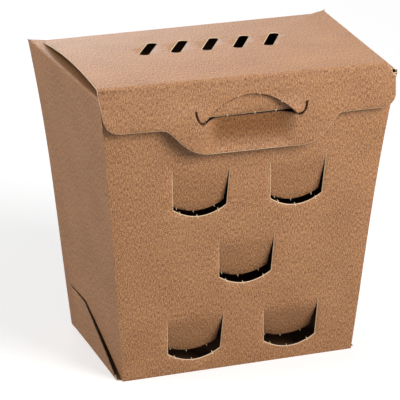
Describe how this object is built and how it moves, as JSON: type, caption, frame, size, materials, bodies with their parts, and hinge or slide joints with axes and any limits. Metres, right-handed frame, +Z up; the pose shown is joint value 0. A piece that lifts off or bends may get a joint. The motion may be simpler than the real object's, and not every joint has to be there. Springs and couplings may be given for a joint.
{
  "type": "fries box",
  "caption": "Closed takeaway carton of brown kraft board with a hinged lid, a hooked lock flap on the front, pressed-in vents and steam slots, for fries and hot snacks.",
  "frame": {"origin": "centre of the base, on the surface that the carton stands on", "axes": "+Z up, front panel with the lock flap towards -Y, +X to the right of a viewer who faces the front"},
  "size_m": [0.149, 0.1003, 0.1452],
  "materials": {
    "kraft_board": "matte, uncoated"
  },
  "bodies": {
    "carton": {"carton": "kraft_board"},
    "lid": {"lid": "kraft_board"},
    "lock_flap": {"lock_flap": "kraft_board"}
  },
  "joints": [
    {"name": "lid_hinge", "type": "hinge", "parent": "carton", "child": "lid", "pos_m": [0, 0.0493, 0.1404], "axis": [-1, 0, 0], "range_deg": [0, 180]},
    {"name": "flap_hinge", "type": "hinge", "parent": "lid", "child": "lock_flap", "pos_m": [0, -0.0481, 0.1442], "axis": [-1, 0, 0], "range_deg": [0, 95]}
  ]
}
